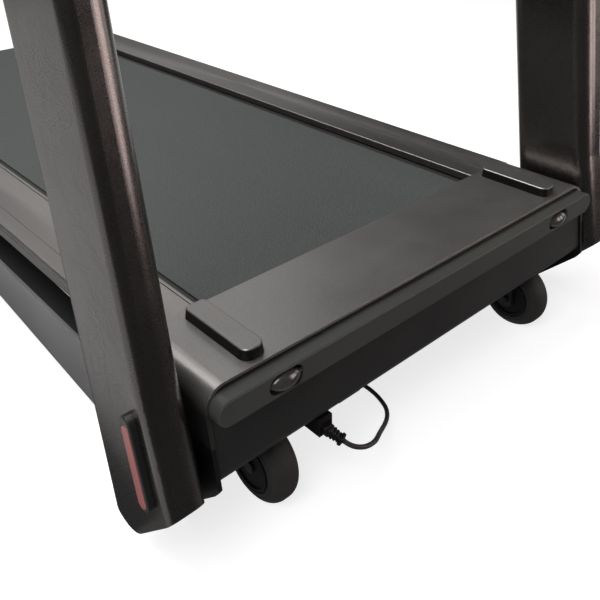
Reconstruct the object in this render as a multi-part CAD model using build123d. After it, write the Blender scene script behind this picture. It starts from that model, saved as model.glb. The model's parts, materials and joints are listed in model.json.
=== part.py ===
"""Folding home treadmill with a U-shaped handle frame that folds flat along the deck.

Frame: +X is the runner's left, -Y is the front (hood) end, +Z is up. The origin is on the
floor, in the middle of the length and width. Everything is in millimetres.
"""
import math
import os

from build123d import *

# ---- Driving dimensions ----------------------------------------------------------------
LENGTH = 1600.0             # front of the storage rollers to the back of the end caps
HOOD_TOP = 222.0            # height of the hood's top face above the floor
HOOD_DEPTH = 132.0          # hood, front edge to rear edge
HOOD_HALF = 350.0           # hood half width
HOOD_CORNER = 26.0          # hood's top corner radius
HOOD_SKIRT = 157.0          # height of the hood's lower side edges
SHEET = 3.0                 # hood and cover thickness
SIDE_WALL = 5.0             # hood's side walls
LEAN = 7.5                  # degrees the uprights and the hood's front lean back
PANEL_RECESS = 3.2          # front panel behind the hood's front edge
PANEL_BOTTOM = 106.0        # height of the front panel's lower edge

BAR_HALF = 345.8            # bumper bar half length
BAR_Z = 198.5               # bumper bar mid height
BAR_HEIGHT = 31.3
BAR_FACE = -19.2            # bar's front face, from the hood's front edge
ROLLER_X = 257.7            # storage roller centre
ROLLER_REACH = 25.5         # storage roller's front, ahead of the hood's front edge
ROLLER_R = 11.5
SLOT_WIDTH = 46.0
SLOT_HEIGHT = 24.0
STUB_R = 3.0                # storage roller's stub axles
RUNNING_FIT = 0.05          # radial clearance of a turning fit

PAD_X = 275.5               # raised hood pads, centre
PAD_WIDTH = 31.0
PAD_FRONT = 7.0
PAD_REAR = 123.0
PAD_HEIGHT = 13.0

BELT_TOP = 206.0            # running surface
BELT_HALF = 245.0
BELT_THICK = 2.5
DRUM_R = 24.0               # belt's inner radius at the rollers
DRUM_CLEAR = 0.3            # roller inside the belt
FRONT_DRUM = 100.0          # front roller axis, from the hood's front edge
REAR_DRUM = 1525.0          # rear roller axis
DRUM_HALF = 250.0
AXLE_R = 8.0

RAIL_TOP = 216.0            # foot rails
RAIL_IN = 260.0
RAIL_OUT = 350.0
RAIL_END = 1482.0
TUBE_OUT = 308.0            # deck frame tubes, outer side
TUBE_LOW = 130.0
TUBE_HIGH = 175.0
BOARD_HALF = 300.0
BOARD_LOW = 183.0
BOARD_HIGH = 203.0
DECK_START = 140.0
DECK_END = 1490.0
BEAM_IN = 312.0             # tapered side beams: black box inside, painted plate outside
PLATE_IN = 344.0
BEAM_OUT = 350.0

WHEEL_X = 254.0
WHEEL_Y = 37.0
WHEEL_R = 52.0
WHEEL_WIDTH = 40.0
TREAD_ROUND = 17.0
WHEEL_HUB_R = 34.0
WHEEL_AXLE_R = 6.0
FORK_GAP = 2.0              # between the wheel and its fork plate
FORK_PLATE = 5.0

PAN_LOW = 109.2             # motor pan under the hood
PAN_HIGH = 112.2
MOTOR_Y = 34.0
MOTOR_Z = 150.0
MOTOR_R = 34.0
MOTOR_PULLEY_R = 13.0
DRUM_PULLEY_R = 34.0
PULLEY_IN = 266.0
PULLEY_OUT = 282.0

PIVOT_Y = 73.0              # handle frame's fold axis
PIVOT_Z = 79.0
PIVOT_R = 10.0
UPRIGHT_IN = 363.0
UPRIGHT_OUT = 412.5
UPRIGHT_BACK = -38.0        # upright's rear face, measured forward of the fold axis
UPRIGHT_DEPTH = 129.0
UPRIGHT_WALL = 3.0
UPRIGHT_TOP = 1110.0        # along the upright, from the fold axis
ARM_TOP = 1156.0
ARM_FRONT = 243.0
FOOT_FLARE = 16.0           # the uprights' feet widen forward by this much
FOOT_TOP = 165.0
FRONT_ROUND = 13.0          # upright's corner radii: outer front, outer rear and inner side
FOOT_ROUND = 7.0            # the outer front radius at the foot's lower end
REAR_ROUND = 16.0
INNER_ROUND = 24.0

RELEASE_D = 63.0            # fold release: place on the upright, forward of the fold axis
RELEASE_W = 78.0            # and along the upright
RELEASE_LENGTH = 108.0
RELEASE_WIDTH = 19.0
RELEASE_PROUD = 8.0
RELEASE_TILT = 3.0
BUTTON_LENGTH = 94.0
BUTTON_DROP = 3.0           # button sits this much below the bezel's middle
BUTTON_WIDTH = 15.0

CORD_R = 3.0
INLET_X = -195.0
INLET_Z = 90.0
COIL_AT = (-38.0, 300.0)
COIL_MID_R = 36.0
COIL_SECTION = 18.0         # three turns side by side
COIL_HEIGHT = 12.4          # two turns high

FRONT = -LENGTH / 2 + ROLLER_REACH      # Y of the hood's front top edge
SIDES = (("left", 1), ("right", -1))
SLOPE = math.tan(math.radians(LEAN))
SIN = math.sin(math.radians(LEAN))
COS = math.cos(math.radians(LEAN))
DRUM_Z = BELT_TOP - BELT_THICK - DRUM_R

# ---- Helpers ----------------------------------------------------------------------------


def block(x0, x1, y0, y1, z0, z1):
    """Box between two corners; y counts from the hood's front edge."""
    size = Box(abs(x1 - x0), y1 - y0, z1 - z0)
    return Pos((x0 + x1) / 2, FRONT + (y0 + y1) / 2, (z0 + z1) / 2) * size


def rod(x0, x1, y, z, radius):
    """Round bar along X."""
    bar = Rot(0, 90, 0) * Cylinder(radius, abs(x1 - x0))
    return Pos((x0 + x1) / 2, FRONT + y, z) * bar


def side_plate(points, x0, x1, rounds=None):
    """Flat plate parallel to YZ between x0 and x1; points are (y, z)."""
    low, high = sorted((x0, x1))
    path = [(low, FRONT + y, z) for y, z in points]
    if rounds:
        outline = FilletPolyline(*path, radius=rounds, close=True)
    else:
        outline = Polyline(*path, close=True)
    return extrude(make_face(outline), amount=high - low, dir=(1, 0, 0))


def on_upright(d, w):
    """(y, z) of a point d ahead of the fold axis and w along the upright."""
    return PIVOT_Y - d * COS + w * SIN, PIVOT_Z + d * SIN + w * COS


def upright_plane(x, d, w):
    """Plane square to the upright; its X runs along X and its Y runs forward."""
    y, z = on_upright(d, w)
    return Plane(origin=(x, FRONT + y, z), x_dir=(-1, 0, 0), z_dir=(0, SIN, COS))


def front_line(z):
    """y of the hood's leaning front edge at height z."""
    return -(HOOD_TOP - z) * SLOPE


# ---- Hood -------------------------------------------------------------------------------


def arch(half, top, bottom, corner, y0, y1):
    """Solid with an arched outline in XZ, from y0 to y1."""
    path = [(-half, bottom), (-half, top), (half, top), (half, bottom)]
    points = [(x, FRONT + y0, z) for x, z in path]
    crown = FilletPolyline(*points, radius=corner)
    outline = crown + Line(points[-1], points[0])
    return extrude(make_face(outline), amount=y1 - y0, dir=(0, 1, 0))


def hood_shell():
    inner_half = HOOD_HALF - SIDE_WALL
    skin = arch(HOOD_HALF, HOOD_TOP, HOOD_SKIRT, HOOD_CORNER, -40, HOOD_DEPTH)
    skin -= arch(inner_half, HOOD_TOP - SHEET, HOOD_SKIRT - 1, HOOD_CORNER - SHEET, -41, HOOD_DEPTH + 1)
    lip = block(-inner_half, inner_half, HOOD_DEPTH - SHEET, HOOD_DEPTH, BELT_TOP + 3, HOOD_TOP - SHEET / 2)
    lip &= arch(HOOD_HALF - 1, HOOD_TOP - 1, HOOD_SKIRT, HOOD_CORNER - 1, 0, HOOD_DEPTH + 1)
    side = side_plate([(0, HOOD_TOP), (HOOD_DEPTH, HOOD_TOP), (HOOD_DEPTH, HOOD_SKIRT),
                       (front_line(HOOD_SKIRT), HOOD_SKIRT)], -HOOD_HALF - 1, HOOD_HALF + 1)
    return (skin & side) + lip


def hood_opening(bottom):
    """Space inside the hood's arch, with a small gap all round."""
    half = HOOD_HALF - SIDE_WALL - 0.3
    return arch(half, HOOD_TOP - SHEET - 0.3, bottom, HOOD_CORNER - SHEET - 0.3, -60, 60)


def front_panel():
    """Leaning black panel with a rounded return along its lower edge."""
    face = PANEL_RECESS
    back = PANEL_RECESS + SHEET
    low = PANEL_BOTTOM
    top = HOOD_TOP - SHEET - 0.3
    outline = [(front_line(top) + face, top), (front_line(low) + face, low), (8, low),
               (8, low + SHEET), (front_line(low + SHEET) + back, low + SHEET),
               (front_line(top) + back, top)]
    panel = side_plate(outline, -HOOD_HALF, HOOD_HALF, rounds=[0.5, 14, 0.5, 0.5, 11, 0.5])
    return panel & hood_opening(PANEL_BOTTOM - 20)


def hood_pad(sign):
    """Raised pad on the hood: blunt round nose, small rear corners, tapered sides."""
    body = Pos(0, (PAD_FRONT + PAD_REAR) / 2) * Rectangle(PAD_WIDTH, PAD_REAR - PAD_FRONT)
    body = fillet(body.vertices().sort_by(Axis.Y)[:2], 12.5)
    body = fillet(body.vertices().sort_by(Axis.Y)[-2:], 8)
    pad = extrude(body, amount=PAD_HEIGHT, taper=8)
    pad = chamfer(pad.faces().sort_by(Axis.Z)[-1].edges(), 0.8)
    return Pos(sign * PAD_X, FRONT, HOOD_TOP) * pad


# ---- Bumper bar and its storage rollers -------------------------------------------------


def roller_axis():
    return ROLLER_R - ROLLER_REACH


def bumper_bar():
    outline = Plane(origin=(0, FRONT + BAR_FACE, BAR_Z), x_dir=(1, 0, 0), z_dir=(0, 1, 0))
    bar = extrude(outline * SlotOverall(2 * BAR_HALF, BAR_HEIGHT), amount=40)
    low, high = BAR_Z - BAR_HEIGHT, BAR_Z + BAR_HEIGHT
    behind = side_plate([(front_line(low) + PANEL_RECESS, low), (60, low), (60, high),
                         (front_line(high) + PANEL_RECESS, high)], -HOOD_HALF, HOOD_HALF)
    bar -= behind
    shell_zone = side_plate([(front_line(low) - 0.3, low), (60, low), (60, high),
                             (front_line(high) - 0.3, high)], -HOOD_HALF, HOOD_HALF)
    bar -= shell_zone - hood_opening(low - 5)
    bar = chamfer(bar.faces().sort_by(Axis.Y)[0].edges(), 1.6)
    for _, sign in SIDES:
        x = sign * ROLLER_X
        slot = block(x - SLOT_WIDTH / 2, x + SLOT_WIDTH / 2, BAR_FACE - 5, -2.0,
                     BAR_Z - SLOT_HEIGHT / 2, BAR_Z + SLOT_HEIGHT / 2)
        bar -= fillet(slot.edges().filter_by(Axis.Y), 11.5)
        rim = Plane(origin=(x, FRONT + BAR_FACE, BAR_Z), x_dir=(1, 0, 0), z_dir=(0, 1, 0))
        funnel = rim * RectangleRounded(SLOT_WIDTH + 2, SLOT_HEIGHT + 2, 12.5)
        bar -= extrude(funnel, amount=1.2, taper=40)
        reach = SLOT_WIDTH / 2 + 7
        bar -= rod(x - reach, x + reach, roller_axis(), BAR_Z, STUB_R + RUNNING_FIT)
    return bar


def bar_roller(sign):
    """Barrel-shaped roller on two stub axles."""
    half = SLOT_WIDTH / 2 - 2.5
    end = 3.2
    barrel = ThreePointArc((-half, end), (0, ROLLER_R), (half, end))
    outline = barrel + Polyline((half, end), (half, 0), (-half, 0), (-half, end))
    roller = revolve(make_face(outline), Axis.X)
    roller += Rot(0, 90, 0) * Cylinder(STUB_R, SLOT_WIDTH + 12)
    return Pos(sign * ROLLER_X, FRONT + roller_axis(), BAR_Z) * roller


# ---- Deck and frame ---------------------------------------------------------------------


BEAM_LINE = [(60, 24), (60, 128), (RAIL_END, 150), (RAIL_END, 99), (1003, 99)]     # (y, z) corners
BEAM_ROUNDS = [16, 6, 3, 3, 60]


def side_beam(sign):
    """Tapered outer plate with its front cheek under the hood and the fold pivot's boss."""
    top = HOOD_SKIRT - 0.3
    face = 0.5
    cheek = [(front_line(top) + face, top), (front_line(106) + face, 106), (-8, 96), (16, 73), (60, 31),
             (HOOD_DEPTH, 60), (HOOD_DEPTH, top)]
    beam = side_plate(BEAM_LINE, sign * PLATE_IN, sign * BEAM_OUT, rounds=BEAM_ROUNDS)
    beam += side_plate(cheek, sign * (HOOD_HALF - SIDE_WALL), sign * HOOD_HALF, rounds=[1, 3, 8, 1, 1, 1, 1])
    beam += rod(sign * PLATE_IN, sign * (UPRIGHT_IN - 0.5), PIVOT_Y, PIVOT_Z, 34)
    return beam - rod(sign * (PLATE_IN - 1), sign * UPRIGHT_IN, PIVOT_Y, PIVOT_Z, PIVOT_R)


def beam_box(sign):
    """Hollow tapered box beam behind the outer plate."""
    inside = [(64, 28), (64, 124), (RAIL_END + 1, 146), (RAIL_END + 1, 103), (1001, 103)]
    box = side_plate(BEAM_LINE, sign * BEAM_IN, sign * PLATE_IN, rounds=BEAM_ROUNDS)
    box -= side_plate(inside, sign * (BEAM_IN + 3), sign * (PLATE_IN - 3))
    return box - rod(sign * (BEAM_IN - 1), sign * (PLATE_IN + 1), PIVOT_Y, PIVOT_Z, PIVOT_R)


def frame_rail(sign):
    """Tube under the deck board with the rear roller's bracket, and the box beam beside it."""
    tube = block(sign * RAIL_IN, sign * TUBE_OUT, DECK_START, 1556, TUBE_LOW, TUBE_HIGH)
    tube -= block(sign * (RAIL_IN + 2), sign * (TUBE_OUT - 2), DECK_START - 1, 1557,
                  TUBE_LOW + 2, TUBE_HIGH - 2)
    tube += block(sign * (TUBE_OUT - 6), sign * TUBE_OUT, REAR_DRUM - 24, REAR_DRUM + 24, TUBE_HIGH, 198)
    tube -= rod(sign * (RAIL_IN - 1), sign * (TUBE_OUT + 1), REAR_DRUM, DRUM_Z, AXLE_R)
    return Compound(children=[tube, beam_box(sign)])


def crossmembers():
    """Three hollow cross tubes between the side beams."""
    tubes = []
    for y in (180, 760, 1340):
        tube = block(-BEAM_IN, BEAM_IN, y - 25, y + 25, 104, TUBE_LOW)
        tubes.append(tube - block(-BEAM_IN - 1, BEAM_IN + 1, y - 22.5, y + 22.5, 106.5, TUBE_LOW - 2.5))
    return Compound(children=tubes)


def deck_board():
    board = block(-BOARD_HALF, BOARD_HALF, DECK_START, DECK_END, BOARD_LOW, BOARD_HIGH)
    return fillet(board.faces().sort_by(Axis.Z)[-1].edges().filter_by(Axis.X), 4)


def deck_cushions():
    """Eight rubber cushions between the frame tubes and the board."""
    cushions = []
    for sign in (1, -1):
        for y in (260, 640, 1020, 1400):
            puck = Cylinder(15, BOARD_LOW - TUBE_HIGH)
            cushions.append(Pos(sign * 284, FRONT + y, (BOARD_LOW + TUBE_HIGH) / 2) * puck)
    return Compound(children=cushions)


def side_rail(sign):
    """Aluminium foot rail: inner bead, flat top with a small step, outer bead under a groove, a leg."""
    top, wall = RAIL_TOP, 3.5
    skin = [(RAIL_IN, 205.5), (RAIL_IN, top + 1), (RAIL_IN + 5.5, top + 1), (RAIL_IN + 6.3, top), (325, top),
            (326, top - 0.6), (RAIL_OUT - 1, top - 0.8), (RAIL_OUT - 1, 210.5), (RAIL_OUT - 2, 209.7),
            (RAIL_OUT, 208.5), (RAIL_OUT, 197), (RAIL_OUT - wall, 197), (RAIL_OUT - wall, top - wall - 0.8),
            (RAIL_IN + wall, top - wall - 0.8), (RAIL_IN + wall, 205.5)]
    rounds = [0.5, 2, 0.4, 0.3, 0.4, 0.4, 4, 0.2, 0.2, 1, 0.5, 0.5, 4, 2, 0.5]
    path = [(sign * x, FRONT + HOOD_DEPTH, z) for x, z in skin]
    outline = FilletPolyline(*path, radius=rounds, close=True)
    rail = extrude(make_face(outline), amount=RAIL_END - HOOD_DEPTH, dir=(0, 1, 0))
    leg = block(sign * (TUBE_OUT - 6), sign * (TUBE_OUT - 1), DECK_START, RAIL_END, TUBE_HIGH, top - wall / 2)
    return rail + leg


def belt_loop(y0, y1, radius0, radius1, z0, z1):
    """Flat face in YZ that a loop round two drums encloses."""
    drums = [Pos(y0, z0) * Circle(radius0), Pos(y1, z1) * Circle(radius1)]
    return make_hull(drums[0].edges() + drums[1].edges())


def loop_solid(face, x0, x1):
    """Loop face extruded along X; the face is drawn in (y, z)."""
    plane = Plane(origin=(x0, FRONT, 0), x_dir=(0, 1, 0), z_dir=(1, 0, 0))
    return extrude(plane * face, amount=x1 - x0)


def running_belt():
    outer = belt_loop(FRONT_DRUM, REAR_DRUM, DRUM_R + BELT_THICK, DRUM_R + BELT_THICK, DRUM_Z, DRUM_Z)
    inner = belt_loop(FRONT_DRUM, REAR_DRUM, DRUM_R, DRUM_R, DRUM_Z, DRUM_Z)
    return loop_solid(outer - inner, -BELT_HALF, BELT_HALF)


def drum(y):
    """Hollow belt roller with solid ends bored for its axle."""
    radius = DRUM_R - DRUM_CLEAR
    body = rod(-DRUM_HALF, DRUM_HALF, y, DRUM_Z, radius)
    body -= rod(-DRUM_HALF + 15, DRUM_HALF - 15, y, DRUM_Z, radius - 3)
    return body - rod(-DRUM_HALF - 1, DRUM_HALF + 1, y, DRUM_Z, AXLE_R + RUNNING_FIT)


def front_roller():
    """Front drum with the driven pulley on its left end."""
    hub = rod(DRUM_HALF, PULLEY_IN, FRONT_DRUM, DRUM_Z, 15)
    pulley = rod(PULLEY_IN, PULLEY_OUT, FRONT_DRUM, DRUM_Z, DRUM_PULLEY_R)
    bore = rod(DRUM_HALF - 1, PULLEY_OUT + 1, FRONT_DRUM, DRUM_Z, AXLE_R + RUNNING_FIT)
    return drum(FRONT_DRUM) + (hub + pulley - bore)


def drum_axle(y, half):
    return rod(-half, half, y, DRUM_Z, AXLE_R)


def bolt_axis(sign, y0, y1, radius):
    """Round bar along Y at a tension bolt's place."""
    bar = Rot(90, 0, 0) * Cylinder(radius, y1 - y0)
    return Pos(sign * 284, FRONT + (y0 + y1) / 2, DRUM_Z) * bar


def tension_bolts():
    """Bolts that pull the rear roller's axle back, with hexagon sockets."""
    bolts = []
    for _, sign in SIDES:
        bolt = bolt_axis(sign, REAR_DRUM + AXLE_R, 1563, 4) + bolt_axis(sign, 1562, 1570, 6.5)
        socket = Plane(origin=(sign * 284, FRONT + 1571, DRUM_Z), x_dir=(1, 0, 0), z_dir=(0, -1, 0))
        bolts.append(bolt - extrude(socket * RegularPolygon(3.4, 6), amount=5))
    return Compound(children=bolts)


# ---- Drive ------------------------------------------------------------------------------


def motor_pan():
    """Flat steel pan under the hood."""
    return block(-BEAM_IN, BEAM_IN, 4, 150, PAN_LOW, PAN_HIGH)


def wheel_fork(x):
    """Plate under the pan, on the inner side of a wheel, that carries the wheel's axle."""
    outline = [(WHEEL_Y - 12, 38), (WHEEL_Y + 14, 38), (WHEEL_Y + 22, PAN_LOW), (WHEEL_Y - 8, PAN_LOW)]
    half = FORK_PLATE / 2
    fork = side_plate(outline, x - half, x + half, rounds=[11, 12, 1, 1])
    return fork - rod(x - half - 1, x + half + 1, WHEEL_Y, WHEEL_R, WHEEL_AXLE_R)


def roller_bracket(sign):
    """Upright plate on the pan that holds an end of the front roller's axle."""
    plate = block(sign * 300, sign * 306, FRONT_DRUM - 20, FRONT_DRUM + 20, PAN_HIGH, 198)
    return plate - rod(sign * 299, sign * 307, FRONT_DRUM, DRUM_Z, AXLE_R)


def pan_brackets():
    """Wheel forks, roller brackets, motor cradle and switch plate, welded to the pan."""
    brackets = []
    for _, sign in SIDES:
        brackets.append(wheel_fork(sign * (WHEEL_X - WHEEL_WIDTH / 2 - FORK_GAP - FORK_PLATE / 2)))
        brackets.append(roller_bracket(sign))
    cradle = block(130, 210, MOTOR_Y - 22, MOTOR_Y + 22, PAN_HIGH, 126)
    brackets.append(cradle - rod(129, 211, MOTOR_Y, MOTOR_Z, MOTOR_R))
    plate = block(-146, -110, 20, 23, 78, PAN_LOW)
    brackets.append(plate - block(-140.2, -115.8, 19, 24, 85.8, 100.2))
    return Compound(children=brackets)


def motor_housing():
    """Motor can with end walls bored for the shaft."""
    can = rod(95, 245, MOTOR_Y, MOTOR_Z, MOTOR_R)
    can -= rod(99, 241, MOTOR_Y, MOTOR_Z, MOTOR_R - 4)
    return can - rod(94, 246, MOTOR_Y, MOTOR_Z, 6 + RUNNING_FIT)


def motor_rotor():
    """Shaft with the armature, the flywheel and the drive pulley."""
    shaft = rod(88, 286, MOTOR_Y, MOTOR_Z, 6)
    armature = rod(115, 225, MOTOR_Y, MOTOR_Z, MOTOR_R - 7)
    flywheel = rod(248, 261, MOTOR_Y, MOTOR_Z, 30)
    return shaft + armature + flywheel + rod(PULLEY_IN, PULLEY_OUT, MOTOR_Y, MOTOR_Z, MOTOR_PULLEY_R)


def drive_belt():
    outer = belt_loop(FRONT_DRUM, MOTOR_Y, DRUM_PULLEY_R + 2.8, MOTOR_PULLEY_R + 2.8, DRUM_Z, MOTOR_Z)
    inner = belt_loop(FRONT_DRUM, MOTOR_Y, DRUM_PULLEY_R + DRUM_CLEAR, MOTOR_PULLEY_R + DRUM_CLEAR,
                      DRUM_Z, MOTOR_Z)
    return loop_solid(outer - inner, PULLEY_IN + 1, PULLEY_OUT - 1)


def control_box():
    box = block(-150, 70, 8, 64, PAN_HIGH, 168)
    return fillet(box.edges().filter_by(Axis.Z), 5)


def power_inlet():
    """Inlet housing under the hood, with its socket facing forward."""
    body = block(INLET_X - 10.5, INLET_X + 10.5, -8, 28, INLET_Z - 9, PANEL_BOTTOM - 0.4)
    body = fillet(body.edges().filter_by(Axis.Y), 1.5)
    return body - block(INLET_X - 7.9, INLET_X + 7.9, -9, 14, INLET_Z - 6.9, INLET_Z + 6.9)


def power_switch():
    """Rocker in the switch plate, on a pin along X."""
    rocker = side_plate([(16.5, 99.6), (19.4, 93), (16.5, 86.4), (27, 88), (27, 98)], -139.9, -116.1)
    rocker += rod(-139.9, -116.1, 24, 93, 4)
    return Pos(0, FRONT + 24, 93) * Rot(7, 0, 0) * Pos(0, -FRONT - 24, -93) * rocker


# ---- Transport wheels -------------------------------------------------------------------


def tyre(sign):
    """Fat solid tyre with a round tread."""
    tread = Pos(0, (WHEEL_R + WHEEL_HUB_R) / 2) * Rectangle(WHEEL_WIDTH, WHEEL_R - WHEEL_HUB_R)
    tread = fillet(tread.vertices().sort_by(Axis.Y)[-2:], TREAD_ROUND)
    ring = revolve(tread, Axis.X)
    return Pos(sign * WHEEL_X, FRONT + WHEEL_Y, WHEEL_R) * ring


def wheel_hub(sign):
    """Solid moulded hub with a low rounded ring on each face, bored for its axle."""
    half = WHEEL_WIDTH / 2
    hub = rod(-half + 1, half - 1, 0, 0, WHEEL_HUB_R)
    for side in (-1, 1):
        ring = rod(side * (half - 2), side * (half + 1), 0, 0, 31)
        ring -= rod(side * (half - 3), side * (half + 2), 0, 0, 27.5)
        hub += chamfer(ring.edges().filter_by(GeomType.CIRCLE), 0.7)
    hub -= rod(-half - 2, half + 2, 0, 0, WHEEL_AXLE_R + RUNNING_FIT)
    return Pos(sign * WHEEL_X, WHEEL_Y, WHEEL_R) * hub


def wheel_axles():
    """Shoulder bolt of each wheel: shank through the fork plate, low round head outside."""
    half = WHEEL_WIDTH / 2
    bolts = []
    for _, sign in SIDES:
        inner = sign * (WHEEL_X - half - FORK_GAP - FORK_PLATE - 6)
        head = sign * (WHEEL_X + half - 0.6)
        bolt = rod(inner, head, WHEEL_Y, WHEEL_R, WHEEL_AXLE_R)
        bolt += rod(head, head + sign * 2.4, WHEEL_Y, WHEEL_R, 8)
        bolts.append(bolt)
    return Compound(children=bolts)


# ---- Rear end ---------------------------------------------------------------------------


def rear_cap(sign):
    """Moulded end cap over the rail, the beam and the roller's end."""
    back = LENGTH - ROLLER_REACH
    outer = block(sign * RAIL_IN, sign * RAIL_OUT, RAIL_END, back, 99, 219)
    outer = fillet(outer.edges().filter_by(Axis.X).sort_by(Axis.Y)[-2:], 26)
    outer = fillet(outer.faces().sort_by(Axis.X)[-1 if sign > 0 else 0].edges().sort_by(Axis.Y)[1:], 8)
    hollow = block(sign * (RAIL_IN - 1), sign * (RAIL_OUT - 3), RAIL_END - 1, back - 3, 102, 216)
    hollow = fillet(hollow.edges().filter_by(Axis.X).sort_by(Axis.Y)[-2:], 23)
    return outer - hollow - bolt_axis(sign, back - 10, back + 1, 8)


def rear_foot(sign):
    """Tapered rear foot under the end of the side beam."""
    x = sign * (BEAM_IN + BEAM_OUT) / 2
    top = Plane(origin=(x, FRONT + 1440, 99)) * RectangleRounded(38, 60, 6)
    sole = Plane(origin=(x, FRONT + 1440, 0)) * RectangleRounded(34, 46, 6)
    return loft([sole, top])


# ---- Handle frame -----------------------------------------------------------------------


def upright_section(sign, w, wall, flare, front_round=FRONT_ROUND):
    """Rounded section of an upright, square to its length."""
    width = UPRIGHT_OUT - UPRIGHT_IN - 2 * wall
    depth = UPRIGHT_DEPTH + flare - 2 * wall
    middle = UPRIGHT_BACK + (UPRIGHT_DEPTH + flare) / 2
    plane = upright_plane(sign * (UPRIGHT_IN + UPRIGHT_OUT) / 2, middle, w)
    x, y = sign * width / 2, depth / 2
    corners = [(-x, y), (-x, -y), (x, -y), (x, y)]
    radii = [front_round - wall, REAR_ROUND - wall, INNER_ROUND - wall, INNER_ROUND - wall]
    return plane * make_face(FilletPolyline(*corners, radius=radii, close=True))


def upright(sign):
    """Hollow upright with a flared foot, cut off at an angle and rounded at the pivot."""
    axis = Vector(0, SIN, COS)
    tube = extrude(upright_section(sign, FOOT_TOP, 0, 0), amount=UPRIGHT_TOP - FOOT_TOP, dir=axis)
    bore = upright_section(sign, FOOT_TOP, UPRIGHT_WALL, 0)
    tube -= extrude(bore, amount=UPRIGHT_TOP - FOOT_TOP + 1, dir=axis)
    foot = loft([upright_section(sign, -90, 0, FOOT_FLARE, FOOT_ROUND), upright_section(sign, FOOT_TOP, 0, 0)])
    nose = (-60, 149.8)
    heel = (100, -7)
    keep = side_plate([nose, heel, on_upright(UPRIGHT_BACK, 400), on_upright(160, 400)],
                      sign * (UPRIGHT_IN - 1), sign * (UPRIGHT_OUT + 1), rounds=[1, 40, 1, 1])
    foot &= keep
    foot -= loft([upright_section(sign, 42, UPRIGHT_WALL, 7.7, 10), bore])
    foot -= rod(sign * (UPRIGHT_IN - 1), sign * 393, PIVOT_Y, PIVOT_Z, PIVOT_R + RUNNING_FIT)
    foot -= release_shape(sign, BUTTON_LENGTH + 0.6, BUTTON_WIDTH + 0.6, -12, 1, BUTTON_DROP)
    return tube + foot


def pivot_pins():
    return Compound(children=[rod(s * 300, s * 392, PIVOT_Y, PIVOT_Z, PIVOT_R) for _, s in SIDES])


def release_shape(sign, length, width, low, high, drop=0):
    """Rounded bar on an upright's outer face, from low to high above that face."""
    y, z = on_upright(RELEASE_D, RELEASE_W)
    tilt = math.radians(LEAN + RELEASE_TILT)
    plane = Plane(origin=(sign * (UPRIGHT_OUT + low), FRONT + y, z),
                  x_dir=(0, math.sin(tilt), math.cos(tilt)), z_dir=(sign, 0, 0))
    return extrude(plane * Pos(-drop, 0) * SlotOverall(length, width), amount=high - low)


def release_bezel(sign):
    bezel = release_shape(sign, RELEASE_LENGTH, RELEASE_WIDTH, 0, RELEASE_PROUD)
    bezel = chamfer(bezel.faces().sort_by(Axis.X)[-1 if sign > 0 else 0].edges(), 1.4)
    return bezel - release_shape(sign, BUTTON_LENGTH + 0.6, BUTTON_WIDTH + 0.6, -1, RELEASE_PROUD + 1,
                                 BUTTON_DROP)


def release_button(sign):
    """Long push button that frees the fold lock."""
    button = release_shape(sign, BUTTON_LENGTH, BUTTON_WIDTH, -5, RELEASE_PROUD + 0.8, BUTTON_DROP)
    return fillet(button.faces().sort_by(Axis.X)[-1 if sign > 0 else 0].edges(), 1.2)


def handle_arm(sign):
    """Top arm that runs forward from the upright to the console."""
    corners = [(UPRIGHT_BACK, UPRIGHT_TOP), (UPRIGHT_BACK, ARM_TOP), (ARM_FRONT, ARM_TOP),
               (ARM_FRONT, UPRIGHT_TOP)]
    arm = side_plate([on_upright(d, w) for d, w in corners], sign * UPRIGHT_IN, sign * UPRIGHT_OUT,
                     rounds=[8, 20, 22, 22])
    return fillet(arm.faces().sort_by(Axis.X)[-1 if sign > 0 else 0].edges(), 7)


CONSOLE = [(172, 1030), (218, 1152), (237, 1152), (237, 1060), (207, 1030)]    # (d, w) corners
FACE_LENGTH = math.hypot(46, 122)
FACE_MARGIN = 3.0


def face_plane(lift=0.0):
    """Plane of the console's face: X along X, Y up the face, Z toward the runner."""
    y0, z0 = on_upright(*CONSOLE[0])
    y1, z1 = on_upright(*CONSOLE[1])
    up = Vector(0, y1 - y0, z1 - z0).normalized()
    out = Vector(-1, 0, 0).cross(up)
    middle = Vector(0, FRONT + (y0 + y1) / 2, (z0 + z1) / 2) + out * lift
    return Plane(origin=middle, x_dir=(-1, 0, 0), z_dir=out)


def console_shell():
    """Console housing, open toward the runner."""
    outline = [on_upright(d, w) for d, w in CONSOLE]
    body = side_plate(outline, -UPRIGHT_IN, UPRIGHT_IN, rounds=[5, 5, 8, 14, 8])
    hollow = [(178, 1033.5), (221, 1148.5), (234, 1148.5), (234, 1062), (206, 1033.5)]
    inside = [on_upright(d, w) for d, w in hollow]
    body -= side_plate(inside, -UPRIGHT_IN + 3, UPRIGHT_IN - 3)
    mouth = face_plane(-5) * Rectangle(2 * UPRIGHT_IN - 2 * FACE_MARGIN, FACE_LENGTH - 2 * FACE_MARGIN - 2)
    return body - extrude(mouth, amount=8)


DISPLAY_SIZE = (190.0, 62.0)
DISPLAY_AT = (0.0, 14.0)
KEY_AT = (0.0, -40.0)
BUTTON_Y = 10.0
CONSOLE_BUTTONS = {                # x on the face and radius
    "start_stop_button": (235.0, 12.0),
    "speed_up_button": (-170.0, 9.0),
    "speed_down_button": (170.0, 9.0),
}


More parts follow.
